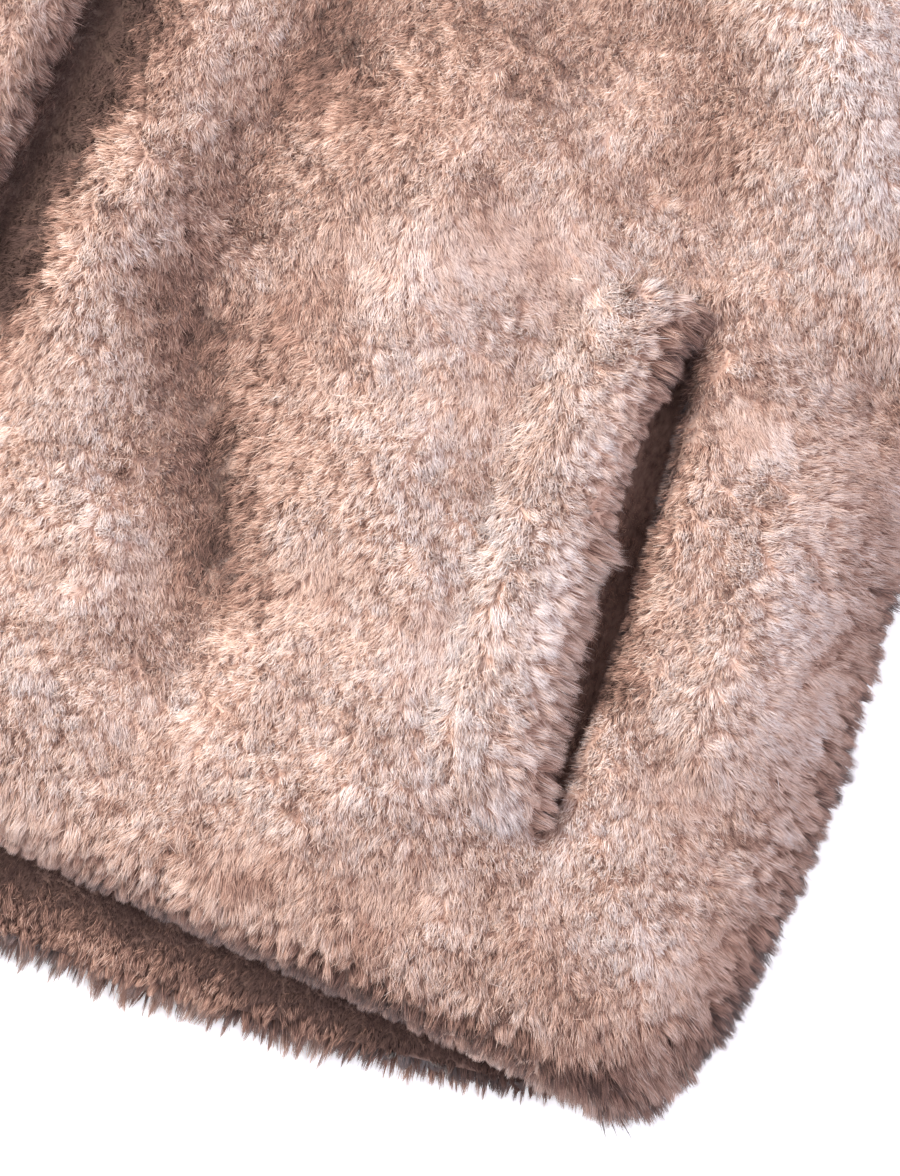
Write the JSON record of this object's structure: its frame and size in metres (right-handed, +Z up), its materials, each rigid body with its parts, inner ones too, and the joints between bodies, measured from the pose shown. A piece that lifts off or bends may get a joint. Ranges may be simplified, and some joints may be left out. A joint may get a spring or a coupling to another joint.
{
  "type": "faux fur bomber jacket",
  "caption": "Cropped faux fur bomber jacket laid flat, right front lapped over left, slanted pockets, short stand collar",
  "frame": {"origin": "on the surface the jacket lies on, under the middle of its bounding box", "axes": "+Z up out of the front, +Y up the garment from the hem to the collar, +X to the wearer's left"},
  "size_m": [1.314, 0.6496, 0.041],
  "materials": {
    "fur": "dense soft pinkish beige faux fur, matte with a soft sheen on the hair tips",
    "pocket_pile": "short brown pile inside the pocket, matte"
  },
  "bodies": {
    "root": {"back": "fur", "back_hem_facing": "fur", "front_left": "fur", "front_right": "fur", "sleeve_left": "fur", "sleeve_right": "fur", "collar": "fur", "pocket_welt_left": "fur", "pocket_welt_right": "fur", "pocket_bag_left": "pocket_pile", "pocket_bag_right": "pocket_pile"}
  },
  "joints": []
}
